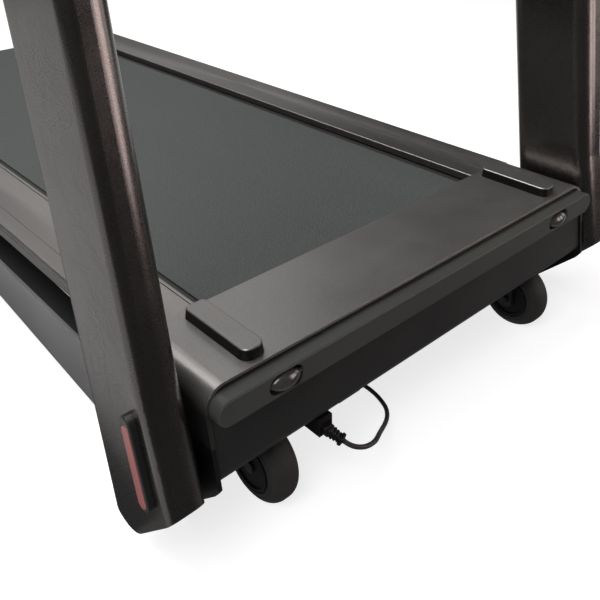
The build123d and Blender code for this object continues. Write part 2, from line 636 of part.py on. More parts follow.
def console_face():
    """Face plate with openings for the display, the buttons and the safety key."""
    size = Rectangle(2 * UPRIGHT_IN - 2 * FACE_MARGIN, FACE_LENGTH - 2 * FACE_MARGIN - 2)
    plate = extrude(face_plane(-3) * size, amount=3)
    plate -= extrude(face_plane(-4) * Pos(*DISPLAY_AT) * Rectangle(*DISPLAY_SIZE), amount=5)
    plate -= extrude(face_plane(-4) * Pos(*KEY_AT) * Rectangle(24.6, 8.6), amount=5)
    for x, radius in CONSOLE_BUTTONS.values():
        plate -= extrude(face_plane(-4) * Pos(x, BUTTON_Y) * Circle(radius + 0.3), amount=5)
    return plate


def display_window():
    return extrude(face_plane(-3) * Pos(*DISPLAY_AT) * Rectangle(*DISPLAY_SIZE), amount=3)


def console_button(name):
    x, radius = CONSOLE_BUTTONS[name]
    face = face_plane()
    cap = extrude(face_plane(-5) * Pos(x, BUTTON_Y) * Circle(radius), amount=7.5)
    rim = cap.edges().sort_by(lambda edge: (edge.center() - face.origin).dot(face.z_dir))[-1]
    return fillet(rim, 1) + extrude(face_plane(-5.3) * Pos(x, BUTTON_Y) * Circle(radius + 2), amount=2)


def safety_key():
    """Pull key: a flat blade with a wider finger tab."""
    blade = extrude(face_plane(-8) * Pos(*KEY_AT) * Rectangle(24, 8), amount=9)
    tab = extrude(face_plane(1) * Pos(*KEY_AT) * RectangleRounded(34, 15, 5), amount=9)
    return blade + tab


def grab_bar():
    """Round cross tube that joins the arms in front of the console."""
    y, z = on_upright(163, 1128)
    return rod(-UPRIGHT_IN, UPRIGHT_IN, y, z, 15) - rod(-UPRIGHT_IN - 1, UPRIGHT_IN + 1, y, z, 12.5)


# ---- Power cord -------------------------------------------------------------------------

CORD_ROUTE = [(-184.4, -26, 76.2), (-181.7, -30.7, 72.8), (-177.4, -35.2, 69.5), (-170.7, -39.2, 66.2),
              (-160.4, -41.7, 62.7), (-144.8, -39.2, 58), (-128.7, -29, 49), (-113, -18, 38),
              (-96, -7, 27), (-77.5, 4.5, 17), (-59, 18, 9), (-43, 36, 3.15), (-34, 66, 3.15),
              (-34, 100, 3.15), (-44, 145, 3.15), (-62, 195, 3.15), (-75, 243, 3.15), (-80, 286, 3.15)]


def cord_radii():
    """Arc radius at each corner: 0.45 of the shorter run over the tangent of half the turn."""
    points = [Vector(*p) for p in CORD_ROUTE]
    radii = []
    for before, here, after in zip(points, points[1:], points[2:]):
        turn = (here - before).get_angle(after - here)
        shorter = min((here - before).length, (after - here).length)
        radii.append(0.45 * shorter / math.tan(math.radians(turn / 2)))
    return radii


def power_cord():
    path = FilletPolyline(*[(x, FRONT + y, z) for x, y, z in CORD_ROUTE], radius=cord_radii())
    start = Plane(origin=path @ 0, z_dir=path % 0)
    cord = sweep(start * Circle(CORD_R), path=path)
    section = math.pi * CORD_R ** 2
    print("cord radii", [round(r) for r in cord_radii()])
    print("cord length", round(path.length, 1), "volume ratio", round(cord.volume / (section * path.length), 4))
    return cord


def boot_plane(back):
    """Plane square to the cord's first run, this far back from where the cord leaves its boot."""
    start, after = Vector(*CORD_ROUTE[0]), Vector(*CORD_ROUTE[1])
    along = (after - start).normalized()
    across = along.cross(Vector(0, 0, 1)).normalized()
    return Plane(origin=start + Vector(0, FRONT, 0) - along * back, x_dir=across, z_dir=along)


def power_connector():
    """Cord connector whose angled strain relief has three grooves and an end flange."""
    body = block(INLET_X - 7.4, INLET_X + 7.4, -15, 12, INLET_Z - 6.4, INLET_Z + 6.4)
    boot = extrude(boot_plane(17) * RectangleRounded(13, 12, 2), amount=14)
    for back in (13.5, 10.5, 7.5):
        ring = Rectangle(20, 20) - RectangleRounded(11.6, 10.6, 1.5)
        boot -= extrude(boot_plane(back) * ring, amount=1.2)
    flange = extrude(boot_plane(4) * RectangleRounded(15, 14, 2.5), amount=4)
    return fillet(body.edges().filter_by(Axis.Y), 1.5) + boot + flange


def power_cord_coil():
    """Outer shape of the wound length: three turns wide, two high."""
    x, y = COIL_AT
    half = COIL_SECTION / 2
    ring = Cylinder(COIL_MID_R + half, COIL_HEIGHT) - Cylinder(COIL_MID_R - half, COIL_HEIGHT + 2)
    ring = fillet(ring.edges(), 2.5)
    return Pos(x, FRONT + y, COIL_HEIGHT / 2 + 0.15) * ring


def power_plug():
    """Plug that lies beside the coil, where the last turn runs off straight; three generic blades."""
    body = Pos(56, 0, 10.1) * fillet(Box(28, 24, 19.8).edges().filter_by(Axis.X), 5)
    neck = Pos(34.5, 0, 7.5) * Rot(0, 90, 0) * Cylinder(4.5, 17)
    blades = Pos(78.5, -6.5, 10.5) * Box(17, 2, 7) + Pos(78.5, 6.5, 10.5) * Box(17, 2, 7)
    pin = Pos(79, 0, 15.5) * Rot(0, 90, 0) * Cylinder(2.3, 18)
    plug = body + neck + blades + pin
    leave = math.radians(60)
    x = COIL_AT[0] + (COIL_MID_R + 2 * CORD_R) * math.cos(leave)
    y = COIL_AT[1] + (COIL_MID_R + 2 * CORD_R) * math.sin(leave)
    return Pos(x, FRONT + y, 0) * Rot(0, 0, -30) * plug


# ---- Write every piece ------------------------------------------------------------------


def build():
    parts = {
        "hood_shell": hood_shell(), "front_panel": front_panel(), "bumper_bar": bumper_bar(),
        "crossmembers": crossmembers(), "tension_bolts": tension_bolts(), "deck_board": deck_board(),
        "deck_cushions": deck_cushions(), "running_belt": running_belt(),
        "front_roller": front_roller(), "front_roller_axle": drum_axle(FRONT_DRUM, 306),
        "rear_roller": drum(REAR_DRUM), "rear_roller_axle": drum_axle(REAR_DRUM, TUBE_OUT),
        "motor_pan": motor_pan(), "pan_brackets": pan_brackets(),
        "motor_housing": motor_housing(), "motor_rotor": motor_rotor(),
        "drive_belt": drive_belt(), "control_box": control_box(), "power_inlet": power_inlet(),
        "power_switch": power_switch(), "wheel_axles": wheel_axles(), "pivot_pins": pivot_pins(),
        "console_shell": console_shell(), "console_face": console_face(),
        "display_window": display_window(), "safety_key": safety_key(), "grab_bar": grab_bar(),
        "power_connector": power_connector(), "power_cord": power_cord(),
        "power_cord_coil": power_cord_coil(), "power_plug": power_plug(),
    }
    paired = {"hood_pad": hood_pad, "bar_roller": bar_roller, "side_beam": side_beam,
              "frame_rail": frame_rail, "side_rail": side_rail, "tyre": tyre,
              "wheel_hub": wheel_hub, "rear_cap": rear_cap, "rear_foot": rear_foot,
              "upright": upright, "handle_arm": handle_arm, "release_bezel": release_bezel,
              "release_button": release_button}
    for name, make in paired.items():
        for side, sign in SIDES:
            parts[f"{name}_{side}"] = make(sign)
    for name in CONSOLE_BUTTONS:
        parts[name] = console_button(name)
    return parts


os.makedirs("parts", exist_ok=True)
for node, shape in build().items():
    export_step(shape, f"parts/{node}.step")
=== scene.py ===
"""Folding home treadmill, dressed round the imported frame. Metres, +Z up, -Y is the hood end."""
import json
import math

import bmesh
import bpy
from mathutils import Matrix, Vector

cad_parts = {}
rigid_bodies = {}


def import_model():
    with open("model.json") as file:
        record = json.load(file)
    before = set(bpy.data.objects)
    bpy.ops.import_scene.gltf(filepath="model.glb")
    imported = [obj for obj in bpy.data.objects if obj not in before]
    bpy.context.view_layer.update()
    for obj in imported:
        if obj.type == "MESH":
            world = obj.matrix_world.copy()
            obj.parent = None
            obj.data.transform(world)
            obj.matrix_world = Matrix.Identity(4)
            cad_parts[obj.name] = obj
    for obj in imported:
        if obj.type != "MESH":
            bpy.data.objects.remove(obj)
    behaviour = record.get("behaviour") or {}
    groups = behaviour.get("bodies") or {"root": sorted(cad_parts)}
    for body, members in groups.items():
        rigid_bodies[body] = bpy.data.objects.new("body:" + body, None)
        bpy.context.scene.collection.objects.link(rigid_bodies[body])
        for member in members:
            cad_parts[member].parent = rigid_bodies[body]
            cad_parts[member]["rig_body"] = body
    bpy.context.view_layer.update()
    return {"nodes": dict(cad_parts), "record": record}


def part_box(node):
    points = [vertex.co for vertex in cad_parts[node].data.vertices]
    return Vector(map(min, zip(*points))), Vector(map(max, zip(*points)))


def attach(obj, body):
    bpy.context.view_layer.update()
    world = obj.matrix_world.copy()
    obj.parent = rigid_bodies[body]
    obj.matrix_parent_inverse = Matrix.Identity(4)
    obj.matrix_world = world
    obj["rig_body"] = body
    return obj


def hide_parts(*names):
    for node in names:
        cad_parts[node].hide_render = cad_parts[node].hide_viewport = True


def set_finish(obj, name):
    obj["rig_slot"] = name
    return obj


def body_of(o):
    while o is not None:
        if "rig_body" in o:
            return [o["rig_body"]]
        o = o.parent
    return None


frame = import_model()
NODES = frame["nodes"]
SCENE = bpy.context.scene
SIDES = (("left", 1), ("right", -1))

HOOD_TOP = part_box("hood_shell")[1].z
HOOD_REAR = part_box("hood_shell")[1].y
HOOD_LENGTH = 0.132
FRONT = HOOD_REAR - HOOD_LENGTH         # the hood's front top edge

# ---- Camera, lights and floor -------------------------------------------------------------

SENSOR_WIDTH = 36.0                     # mm
CAMERA_LENS = 45.73                     # mm
CAMERA_SHIFT = -0.2247
CAMERA_AT = (-0.65977, FRONT - 0.51152, HOOD_TOP + 0.49363)
CAMERA_TURN = (66.6068, 1.4232, -41.5435)       # degrees
LAMPS = {                               # place, aim, size, power and colour
    "top_light": ((-0.7, 0.3, 3.0), (0, -0.4, 0.1), (2.4, 2.4), 120, (1, 1, 1)),
    "key_light": ((-2.0, -1.6, 2.6), (0, -0.7, 0.2), (1.6, 1.6), 60, (1, 1, 1)),
    "side_light": ((3.0, -1.5, 0.7), (-0.3, -0.8, 0.5), (0.9, 1.2), 6, (1, 0.93, 0.86)),
}
DIM_WORLD = 0.06                        # strength of the surroundings for all but the camera's rays
FLOOR_REACH = 12
FLOOR_GREY = (0.4, 0.4, 0.4)
FLOOR_GLOW = 0.78
CARD_LIFT = 0.001                       # a flat card's height over the floor
SIDE_CARD_GLOW = 0.66
BACK_CARD_GLOW = 0.8
FRONT_CARD_GLOW = 0.15
STREAK_GLOW = 5.0
STREAK_TINT = (1.0, 0.84, 0.82)
STREAK_XS = (0.55, 1.2)
DARK_CARD_X = -0.356


def camera():
    data = bpy.data.cameras.new("camera")
    cam = bpy.data.objects.new("camera", data)
    SCENE.collection.objects.link(cam)
    data.sensor_width = SENSOR_WIDTH
    data.lens = CAMERA_LENS
    data.shift_y = CAMERA_SHIFT
    cam.location = CAMERA_AT
    cam.rotation_euler = [math.radians(a) for a in CAMERA_TURN]
    SCENE.camera = cam


def area_light(name, at, aim, size, power, colour):
    """Soft rectangular lamp at one point, aimed at another."""
    data = bpy.data.lights.new(name, "AREA")
    data.shape = "RECTANGLE"
    data.size, data.size_y = size
    data.energy = power
    data.color = colour
    light = bpy.data.objects.new(name, data)
    light.location = at
    light.rotation_euler = (Vector(aim) - Vector(at)).to_track_quat("-Z", "Y").to_euler()
    SCENE.collection.objects.link(light)


def studio_plane(name, corners, colour, rough, glow=0.0, tint=(1, 1, 1)):
    """Flat staging surface with a plain finish."""
    mesh = bpy.data.meshes.new(name)
    mesh.from_pydata(corners, [], [(0, 1, 2, 3)])
    plane = bpy.data.objects.new(name, mesh)
    SCENE.collection.objects.link(plane)
    mat = bpy.data.materials.new(name + "_paint")
    mat.use_nodes = True
    paint = mat.node_tree.nodes["Principled BSDF"]
    paint.inputs["Base Color"].default_value = (*colour, 1)
    paint.inputs["Roughness"].default_value = rough
    paint.inputs["Specular IOR Level"].default_value = 0.0
    paint.inputs["Emission Color"].default_value = (*tint, 1)
    paint.inputs["Emission Strength"].default_value = glow
    mesh.materials.append(mat)
    return plane


def reflector(name, corners, glow, tint=(1, 1, 1)):
    """Card that shows only as a reflection in glossy surfaces."""
    card = studio_plane(name, corners, (0, 0, 0), 1.0, glow, tint)
    card.visible_camera = False
    card.visible_diffuse = False
    card.visible_shadow = False
    card.visible_transmission = False


def flat_card(x_from, x_to, y_from, y_to):
    """Corners of a card lying just over the floor."""
    return [(x_from, y_from, CARD_LIFT), (x_to, y_from, CARD_LIFT), (x_to, y_to, CARD_LIFT),
            (x_from, y_to, CARD_LIFT)]


def studio():
    """Plain pale floor and surroundings, soft lamps, and cards round the object for its reflections."""
    world = bpy.data.worlds.new("studio")
    SCENE.world = world
    world.use_nodes = True
    tree = world.node_tree
    back = tree.nodes["Background"]
    back.inputs["Color"].default_value = (1, 1, 1, 1)
    rays = tree.nodes.new("ShaderNodeLightPath")
    level = tree.nodes.new("ShaderNodeMapRange")
    level.inputs["To Min"].default_value = DIM_WORLD
    level.inputs["To Max"].default_value = 1.0
    tree.links.new(rays.outputs["Is Camera Ray"], level.inputs["Value"])
    tree.links.new(level.outputs["Result"], back.inputs["Strength"])
    for name, lamp in LAMPS.items():
        area_light(name, *lamp)
    low, high = -FLOOR_REACH, FLOOR_REACH
    corners = [(low, low, 0), (high, low, 0), (high, high, 0), (low, high, 0)]
    floor = studio_plane("floor", corners, FLOOR_GREY, 0.9, FLOOR_GLOW)
    floor.visible_glossy = False
    for side, sign in SIDES:
        reflector("card_" + side, flat_card(sign * 0.5, sign * 3.0, -0.9, 3.0), SIDE_CARD_GLOW)
    for index, x in enumerate(STREAK_XS):
        low, high = 0.12, 1.0
        card = [(x, -1.9, low), (x + 0.3, -1.7, low), (x + 0.3, -1.7, high), (x, -1.9, high)]
        reflector(f"streak_{index}", card, STREAK_GLOW, STREAK_TINT)
    card = [(-1.0, 3.5, 1.4), (3.6, 3.5, 1.4), (3.6, 3.5, 5.5), (-1.0, 3.5, 5.5)]
    reflector("back_card", card, BACK_CARD_GLOW)
    reflector("front_card", flat_card(-0.6, 0.6, FRONT - 0.16, FRONT + 0.09), FRONT_CARD_GLOW)
    x, near, far, low, high = DARK_CARD_X, FRONT + 0.2, FRONT + 1.0, 0.23, 1.2
    reflector("dark_card", [(x, near, low), (x, far, low), (x, far, high), (x, near, high)], 0.0)
    SCENE.view_settings.view_transform = "Standard"


camera()
studio()

# ---- Cord ---------------------------------------------------------------------------------

CORD_RADIUS = 0.003
CORD_REST = 3.15                        # mm, height of the cord's middle where it lies on the floor
CORD_ROUTE = [(-184.4, -26, 76.2), (-181.7, -30.7, 72.8), (-177.4, -35.2, 69.5), (-170.7, -39.2, 66.2),
              (-160.4, -41.7, 62.7), (-144.8, -39.2, 58), (-128.7, -29, 49), (-113, -18, 38),
              (-96, -7, 27), (-77.5, 4.5, 17), (-59, 18, 9), (-43, 36, CORD_REST),
              (-34, 66, CORD_REST), (-34, 100, CORD_REST), (-44, 145, CORD_REST),
              (-62, 195, CORD_REST), (-75, 243, CORD_REST), (-80, 286, CORD_REST)]
COIL_AT = (-38, 300)
COIL_MID = 36.0                         # mm, mean radius
COIL_SWELL = 1.01                       # the line runs a little inside its points
STRAIGHT_END = ((9, 0.3), (18, 1.0), (27, 1.5), (35, 1.65))     # mm onward and down, into the plug
TURN_STEPS = 16
TIE_ANGLE = math.radians(300)
TIE_HEIGHT = 6.75                       # mm, its middle
TIE_INNER = (0.0095, 0.00585)           # half sizes
TIE_OUTER = (0.0103, 0.00665)
TIE_HALF_WIDTH = 0.003


def place(x, y, z):
    """Point in the scene from millimetres, with y counted from the hood's front edge."""
    return Vector((x / 1000, FRONT + y / 1000, z / 1000))


def coil_points():
    """Three turns on the floor going in, two and a third on top going out, then a straight end."""
    points = []
    gap = 2000 * CORD_RADIUS
    turns = [(1, 0), (0, 0), (-1, 0), (-1, 1), (0, 1), (1, 1)]
    for index, (lane, level) in enumerate(turns):
        last = index == len(turns) - 1
        after = turns[index] if last else turns[index + 1]
        steps = TURN_STEPS // 3 + 1 if last else TURN_STEPS
        for step in range(steps):
            share = step / (3 * (steps - 1)) if last else step / TURN_STEPS
            shift = max(0.0, (share - 0.5) / 0.5)
            shift = shift * shift * (3 - 2 * shift)
            across = lane + (after[0] - lane) * shift
            height = level + (after[1] - level) * shift
            angle = math.pi - 2 * math.pi * share
            radius = (COIL_MID + across * gap) * COIL_SWELL
            x, y = COIL_AT[0] + radius * math.cos(angle), COIL_AT[1] + radius * math.sin(angle)
            points.append((x, y, CORD_REST + height * gap))
    x, y, z = points[-1]
    for run, drop in STRAIGHT_END:
        points.append((x + run * math.sin(angle), y - run * math.cos(angle), z - drop))
    return points


def ring_mesh(name, rings, closed=False):
    """Mesh through rings of equal point counts: a closed loop, or a tube capped at both ends."""
    mesh = bpy.data.meshes.new(name)
    shape = bmesh.new()
    rows = [[shape.verts.new(p) for p in ring] for ring in rings]
    count = len(rows[0])
    for first, second in zip(rows, rows[1:] + rows[:1] if closed else rows[1:]):
        for i in range(count):
            shape.faces.new((first[i], first[(i + 1) % count], second[(i + 1) % count], second[i]))
    if not closed:
        shape.faces.new(list(reversed(rows[0])))
        shape.faces.new(rows[-1])
    bmesh.ops.recalc_face_normals(shape, faces=shape.faces)
    for face in shape.faces:
        face.smooth = len(face.verts) == 4
    shape.to_mesh(mesh)
    shape.free()
    obj = bpy.data.objects.new(name, mesh)
    SCENE.collection.objects.link(obj)
    return obj


def rounded_ring(centre, across, up, half_width, half_height, count=40, power=4.5):
    """Points of a rounded rectangle about a centre."""
    ring = []
    for i in range(count):
        angle = 2 * math.pi * i / count
        c, s = math.cos(angle), math.sin(angle)
        x = math.copysign(abs(c) ** (2 / power), c) * half_width
        y = math.copysign(abs(s) ** (2 / power), s) * half_height
        ring.append(centre + across * x + up * y)
    return ring


BOOT_STATIONS = [(22, 6.9, 6.2), (17.5, 6.9, 6.2), (17.2, 5.9, 5.3), (15.4, 5.8, 5.2), (15.1, 6.6, 6.0),
                 (13.0, 6.4, 5.8), (12.7, 5.4, 4.8), (11.2, 5.3, 4.7), (10.9, 6.1, 5.5), (8.9, 5.9, 5.3),
                 (8.6, 4.9, 4.4), (7.1, 4.8, 4.3), (6.8, 5.6, 5.1), (4.7, 5.3, 4.8), (4.3, 6.6, 6.2),
                 (3.9, 6.9, 6.5), (0.9, 6.7, 6.3), (0.4, 6.4, 6.0), (0.3, 4.2, 4.2)]     # mm back, half sizes


INLET_Z = 90                            # mm
CONNECTOR_STATIONS = [(-15.0, 5.6), (-14.6, 6.4), (-13.8, 6.9), (-8.4, 7.2), (-8.2, 6.8), (-7.6, 6.8),
                      (-7.4, 7.3), (12, 7.3)]                       # y and half width, mm


def cord_boot():
    """Tapered, ribbed strain relief between the connector and the cord's start."""
    start, after = place(*CORD_ROUTE[0]), place(*CORD_ROUTE[1])
    along = (after - start).normalized()
    across = along.cross(Vector((0, 0, 1))).normalized()
    up = across.cross(along)
    rings = [rounded_ring(start - along * back / 1000, across, up, wide / 1000, high / 1000)
             for back, wide, high in BOOT_STATIONS]
    return ring_mesh("cord_boot", rings)


def connector_body():
    """Moulded block of the cord's connector, which sits in the inlet."""
    low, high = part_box("power_inlet")
    middle_x = (low.x + high.x) / 2
    across, up = Vector((1, 0, 0)), Vector((0, 0, 1))
    rings = []
    for y, half in CONNECTOR_STATIONS:
        centre = Vector((middle_x, place(0, y, 0).y, place(0, 0, INLET_Z).z))
        rings.append(rounded_ring(centre, across, up, half / 1000, (half - 1) / 1000))
    return ring_mesh("connector_body", rings)


def cord_tie():
    """Band round the coil where only its five whole turns pass."""
    outward = Vector((math.cos(TIE_ANGLE), math.sin(TIE_ANGLE), 0))
    along = Vector((-math.sin(TIE_ANGLE), math.cos(TIE_ANGLE), 0))
    up = Vector((0, 0, 1))
    centre = place(*COIL_AT, TIE_HEIGHT) + outward * COIL_MID * COIL_SWELL / 1000
    inner = rounded_ring(centre, outward, up, *TIE_INNER)
    outer = rounded_ring(centre, outward, up, *TIE_OUTER)
    half = along * TIE_HALF_WIDTH
    rings = [[o + half, o - half, i - half, i + half] for o, i in zip(outer, inner)]
    return ring_mesh("cord_tie", rings, closed=True)


def cord():
    """The whole lead as one line: visible run, run under the deck, coil and the end in the plug."""
    points = CORD_ROUTE + coil_points()[1:]
    curve = bpy.data.curves.new("power_cord_line", "CURVE")
    curve.dimensions = "3D"
    spline = curve.splines.new("NURBS")
    spline.points.add(len(points) - 1)
    for point, at in zip(spline.points, points):
        point.co = (*place(*at), 1)
    spline.order_u = 3
    spline.use_endpoint_u = True
    curve.bevel_depth = CORD_RADIUS
    curve.bevel_resolution = 6
    curve.resolution_u = 8
    curve.use_fill_caps = True
    obj = bpy.data.objects.new("power_cord_line", curve)
    SCENE.collection.objects.link(obj)
    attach(obj, "base")
    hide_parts("power_cord", "power_cord_coil")
    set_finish(obj, "cord_rubber")
    return obj


CONNECTOR = [cord_boot(), connector_body()]
for piece in CONNECTOR:
    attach(piece, "base")
    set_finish(piece, "inlet_plastic")
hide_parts("power_connector")
TIE = cord_tie()
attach(TIE, "base")
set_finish(TIE, "cord_rubber")
LEAD = cord()

# ---- Node materials -----------------------------------------------------------------------


def link(tree, start, end):
    tree.links.new(start, end)


def new_node(tree, kind, **values):
    """Add a shader node and set its sockets by name."""
    node = tree.nodes.new(kind)
    for key, value in values.items():
        node.inputs[key].default_value = value
    return node


def stretched(tree, stretch):
    """Object coordinates in metres, scaled per axis."""
    coords = tree.nodes.new("ShaderNodeTexCoord")
    mapping = new_node(tree, "ShaderNodeMapping", Scale=stretch)
    link(tree, coords.outputs["Object"], mapping.inputs["Vector"])
    return mapping.outputs["Vector"]


def noise(tree, scale, detail=3.0, stretch=(1, 1, 1), rough=0.5):
    node = new_node(tree, "ShaderNodeTexNoise", Scale=scale, Detail=detail, Roughness=rough)
    link(tree, stretched(tree, stretch), node.inputs["Vector"])
    return node.outputs["Fac"]


def cells(tree, scale, stretch=(1, 1, 1), output="Distance"):
    node = new_node(tree, "ShaderNodeTexVoronoi", Scale=scale)
    link(tree, stretched(tree, stretch), node.inputs["Vector"])
    return node.outputs[output]


def spread(tree, value, low, high, start=0.3, end=0.7):
    """Remap a value from the range start to end onto low to high."""
    node = new_node(tree, "ShaderNodeMapRange")
    for socket, number in (("From Min", start), ("From Max", end), ("To Min", low), ("To Max", high)):
        node.inputs[socket].default_value = number
    link(tree, value, node.inputs["Value"])
    return node.outputs["Result"]


def multiply(tree, first, second):
    node = tree.nodes.new("ShaderNodeMath")
    node.operation = "MULTIPLY"
    link(tree, first, node.inputs[0])
    link(tree, second, node.inputs[1])
    return node.outputs[0]


def add(tree, first, second):
    node = tree.nodes.new("ShaderNodeMath")
    node.operation = "ADD"
    link(tree, first, node.inputs[0])
    link(tree, second, node.inputs[1])
    return node.outputs[0]


def shaded(tree, colour, factor):
    """A colour multiplied by a value."""
    node = tree.nodes.new("ShaderNodeVectorMath")
    node.operation = "SCALE"
    node.inputs[0].default_value = colour
    link(tree, factor, node.inputs["Scale"])
    return node.outputs[0]


def mixed(tree, factor, first, second):
    node = tree.nodes.new("ShaderNodeMix")
    node.data_type = "RGBA"
    link(tree, factor, node.inputs["Factor"])
    for socket, value in (("A", first), ("B", second)):
        target = [s for s in node.inputs if s.name == socket and s.type == "RGBA"][0]
        if hasattr(value, "links"):
            link(tree, value, target)
        else:
            target.default_value = (*value, 1)
    return [s for s in node.outputs if s.type == "RGBA"][0]


def worn_edges(tree, radius, amount):
    """0 to amount mask that rises at convex edges, broken up by noise."""
    bevel = new_node(tree, "ShaderNodeBevel", Radius=radius)
    bevel.samples = 4
    shape = tree.nodes.new("ShaderNodeNewGeometry")
    dot = tree.nodes.new("ShaderNodeVectorMath")
    dot.operation = "DOT_PRODUCT"
    link(tree, bevel.outputs["Normal"], dot.inputs[0])
    link(tree, shape.outputs["Normal"], dot.inputs[1])
    edge = spread(tree, dot.outputs["Value"], amount, 0.0, 0.75, 0.99)
    return multiply(tree, edge, spread(tree, noise(tree, 90.0), 0.2, 1.0))


def start_material(name, soft_edge=0.0006):
    """Empty principled material; returns it, its tree, its shader and its edge-softened normal."""
    mat = bpy.data.materials.new(name)
    mat.use_nodes = True
    tree = mat.node_tree
    shader = tree.nodes["Principled BSDF"]
    bevel = new_node(tree, "ShaderNodeBevel", Radius=soft_edge)
    bevel.samples = 4
    return mat, tree, shader, bevel.outputs["Normal"]


def bumped(tree, shader, normal, height, distance, strength=1.0):
    bump = new_node(tree, "ShaderNodeBump", Strength=strength, Distance=distance)
    link(tree, height, bump.inputs["Height"])
    link(tree, normal, bump.inputs["Normal"])
    link(tree, bump.outputs["Normal"], shader.inputs["Normal"])


def painted_shade_ramp(tree, axis, start, end, low):
    """Value that rises from low to 1 between two places along an axis; it darkens a part's colour on one side
    as painted shade.
    """
    split = tree.nodes.new("ShaderNodeSeparateXYZ")
    link(tree, stretched(tree, (1, 1, 1)), split.inputs[0])
    return spread(tree, split.outputs[axis], low, 1.0, start, end)


def metallic_paint(name, colour, metal=0.55, rough=0.36, flake=0.16, coat=0.25, peel=0.00002, wear=0.35,
                   painted_shade=None):
    """Metallic paint: fine flakes, slight orange peel, faint wear at the edges, a clear coat.

    The last argument, when given, holds the axis, the two places and the low value of painted shade: a
    portion darkened in colour to stand in for shade.
    """
    mat, tree, shader, normal = start_material(name)
    flakes = spread(tree, cells(tree, 1500.0, output="Color"), 1 - flake, 1 + flake, 0.0, 1.0)
    tone = multiply(tree, flakes, spread(tree, noise(tree, 5.0, 4.0), 0.95, 1.05))
    bare = tuple(min(1.0, c * 1.9) for c in colour)
    worn = worn_edges(tree, 0.0012, wear)
    # Darken the colour and the worn edges by position: painted shade.
    if painted_shade:
        shade = painted_shade_ramp(tree, *painted_shade)
        tone = multiply(tree, tone, shade)
        worn = multiply(tree, worn, shade)
    link(tree, mixed(tree, worn, shaded(tree, colour, tone), bare), shader.inputs["Base Color"])
    smear = spread(tree, noise(tree, 9.0, 5.0, rough=0.6), rough - 0.04, rough + 0.05)
    speckle = spread(tree, noise(tree, 1300.0, 1.0), -0.04, 0.04)
    link(tree, add(tree, smear, speckle), shader.inputs["Roughness"])
    shader.inputs["Metallic"].default_value = metal
    shader.inputs["Coat Weight"].default_value = coat
    shader.inputs["Coat Roughness"].default_value = 0.22
    height = add(tree, noise(tree, 260.0, 2.0), spread(tree, noise(tree, 2100.0, 1.0), 0, 0.6, 0, 1))
    bumped(tree, shader, normal, height, peel)
    return mat


def moulded_plastic(name, colour, rough=0.45, grain=0.00005, scale=900.0, wear=0.25, specular=0.5,
                    coat=0.0):
    """Moulded plastic: leathery fine grain, hazy gloss variation, paler rubbed edges."""
    mat, tree, shader, normal = start_material(name)
    clouds = spread(tree, noise(tree, 7.0, 4.0), 0.9, 1.1)
    tone = multiply(tree, clouds, spread(tree, noise(tree, 700.0, 2.0), 0.93, 1.07))
    body = shaded(tree, colour, tone)
    rubbed = tuple(c * 1.6 + 0.015 for c in colour)
    link(tree, mixed(tree, worn_edges(tree, 0.0009, wear), body, rubbed), shader.inputs["Base Color"])
    haze = spread(tree, noise(tree, 16.0, 5.0, rough=0.6), rough - 0.05, rough + 0.07)
    link(tree, haze, shader.inputs["Roughness"])
    shader.inputs["Specular IOR Level"].default_value = specular
    shader.inputs["Coat Weight"].default_value = coat
    shader.inputs["Coat Roughness"].default_value = 0.15
    height = add(tree, cells(tree, scale), spread(tree, noise(tree, scale * 0.6, 2.0), 0, 0.7, 0, 1))
    bumped(tree, shader, normal, height, grain)
    return mat


def rubber(name, colour, rough=0.72, scale=650.0, grain=0.00006):
    """Dull rubber with patches of dust."""
    mat, tree, shader, normal = start_material(name)
    body = shaded(tree, colour, spread(tree, noise(tree, 30.0, 5.0), 0.85, 1.15))
    dust = tuple(c * 1.3 + 0.03 for c in colour)
    dusty = spread(tree, noise(tree, 11.0, 6.0, rough=0.65), 0.0, 0.35, 0.45, 0.75)
    link(tree, mixed(tree, dusty, body, dust), shader.inputs["Base Color"])
    haze = spread(tree, noise(tree, 40.0, 4.0), rough - 0.08, rough + 0.08)
    link(tree, haze, shader.inputs["Roughness"])
    shader.inputs["Specular IOR Level"].default_value = 0.4
    bumped(tree, shader, normal, noise(tree, scale, 3.0), grain)
    return mat


def running_belt(name, colour):
    """Belt cover: small close-set pips, with broad lanes of smoother wear."""
    mat, tree, shader, normal = start_material(name, 0.0003)
    pips = cells(tree, 380.0, (1, 0.55, 1))
    lane = noise(tree, 3.0, 2.0, (1.6, 0.25, 1))
    tone = multiply(tree, spread(tree, pips, 1.12, 0.8, 0.0, 0.6), spread(tree, lane, 0.92, 1.1))
    link(tree, shaded(tree, colour, tone), shader.inputs["Base Color"])
    link(tree, spread(tree, lane, 0.5, 0.66), shader.inputs["Roughness"])
    shader.inputs["Specular IOR Level"].default_value = 0.35
    bumped(tree, shader, normal, spread(tree, pips, 1.0, 0.0, 0.1, 0.6), 0.00022)
    return mat


def brushed_metal(name, colour, rough=0.33, stretch=(1, 0.012, 1), depth=0.000012, anisotropic=0.4):
    """Drawn or brushed metal: long fine lines along one axis, soft stains across it."""
    mat, tree, shader, normal = start_material(name, 0.0005)
    lines = noise(tree, 1400.0, 3.0, stretch)
    streaks = spread(tree, lines, 0.93, 1.07)
    tone = multiply(tree, streaks, spread(tree, noise(tree, 4.0, 4.0), 0.94, 1.05))
    link(tree, shaded(tree, colour, tone), shader.inputs["Base Color"])
    link(tree, spread(tree, lines, rough - 0.06, rough + 0.08), shader.inputs["Roughness"])
    shader.inputs["Metallic"].default_value = 1.0
    shader.inputs["Anisotropic"].default_value = anisotropic
    bumped(tree, shader, normal, lines, depth)
    return mat


